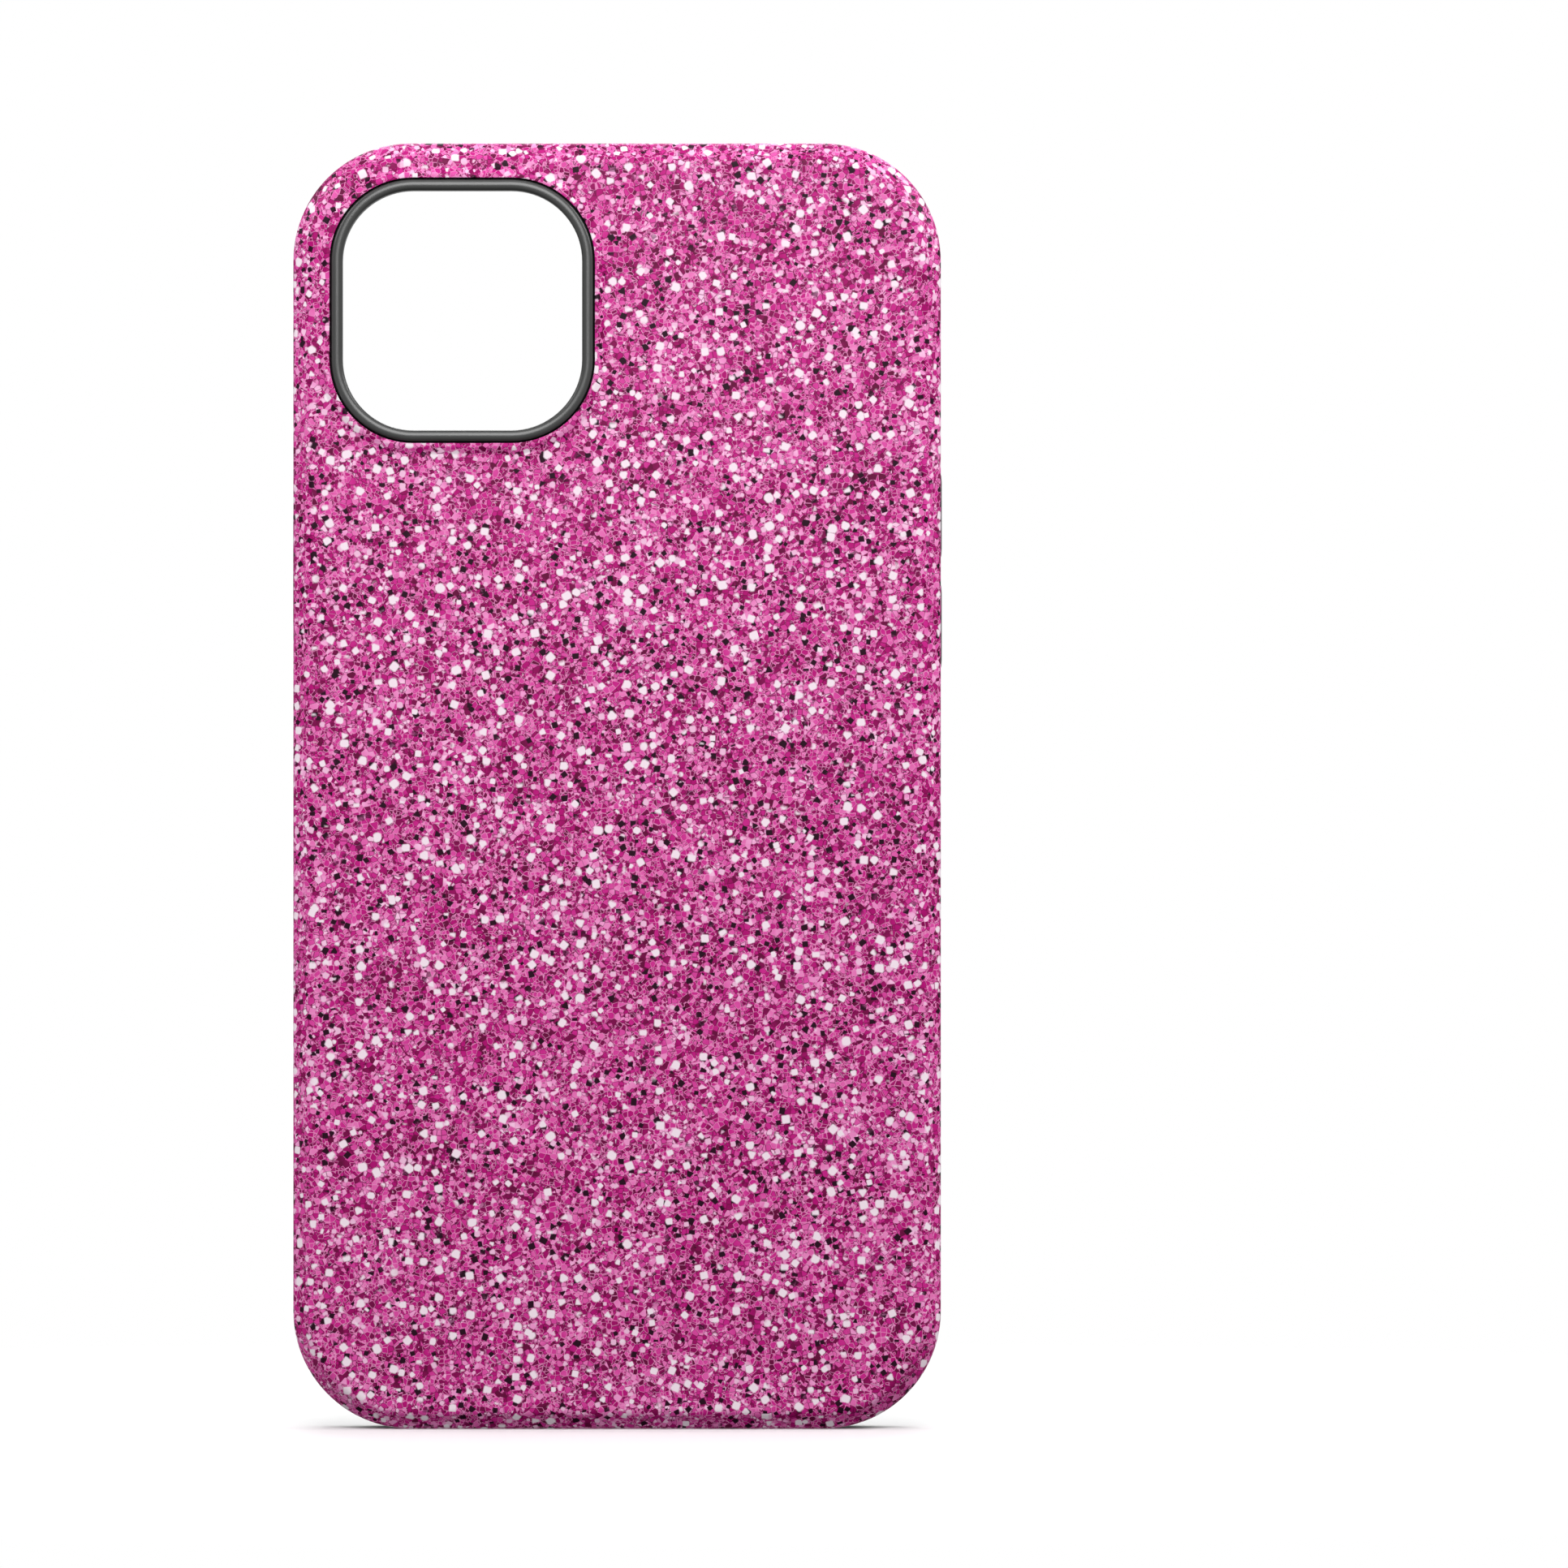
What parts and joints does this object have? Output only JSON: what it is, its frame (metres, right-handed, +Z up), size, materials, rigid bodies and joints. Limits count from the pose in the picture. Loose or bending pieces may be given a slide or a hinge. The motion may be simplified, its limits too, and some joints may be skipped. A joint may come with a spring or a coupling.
{
  "type": "phone case",
  "caption": "Layered phone case with a printed hard shell, a soft liner with a camera ring, press buttons and a sealed magnet ring.",
  "frame": {"origin": "middle of the case's bottom edge, where it stands", "axes": "+Z up along the long sides to the phone's top edge, +Y from the printed back to the screen side, +X to the right when the back is faced"},
  "size_m": [0.077, 0.0118, 0.1521],
  "materials": {
    "hard_shell": "satin, printed all over with a magenta glitter pattern",
    "soft_liner": "matte black soft plastic with a fine moulded texture",
    "button_rubber": "satin dark grey soft plastic",
    "plated_magnet": "bright nickel plating",
    "carrier_film": "white adhesive film"
  },
  "bodies": {
    "case": {"outer_shell": "hard_shell", "inner_liner": "soft_liner", "ring_magnet_01": "plated_magnet", "ring_magnet_02": "plated_magnet", "ring_magnet_03": "plated_magnet", "ring_magnet_04": "plated_magnet", "ring_magnet_05": "plated_magnet", "ring_magnet_06": "plated_magnet", "ring_magnet_07": "plated_magnet", "ring_magnet_08": "plated_magnet", "ring_magnet_09": "plated_magnet", "ring_magnet_10": "plated_magnet", "ring_magnet_11": "plated_magnet", "ring_magnet_12": "plated_magnet", "ring_magnet_13": "plated_magnet", "ring_magnet_14": "plated_magnet", "ring_magnet_15": "plated_magnet", "ring_magnet_16": "plated_magnet", "ring_magnet_17": "plated_magnet", "ring_magnet_18": "plated_magnet", "magnet_carrier_ring": "carrier_film", "alignment_magnet": "plated_magnet", "alignment_carrier": "carrier_film"},
    "volume_up": {"volume_up_button": "button_rubber"},
    "volume_down": {"volume_down_button": "button_rubber"},
    "side_key": {"side_button": "button_rubber"}
  },
  "joints": [
    {"name": "volume_up_press", "type": "slide", "parent": "case", "child": "volume_up", "axis": [-1, 0, 0], "range_m": [0, 0.0003], "stiffness_N_per_m": 4000},
    {"name": "volume_down_press", "type": "slide", "parent": "case", "child": "volume_down", "axis": [-1, 0, 0], "range_m": [0, 0.0003], "stiffness_N_per_m": 4000},
    {"name": "side_button_press", "type": "slide", "parent": "case", "child": "side_key", "axis": [1, 0, 0], "range_m": [0, 0.0003], "stiffness_N_per_m": 4000}
  ]
}
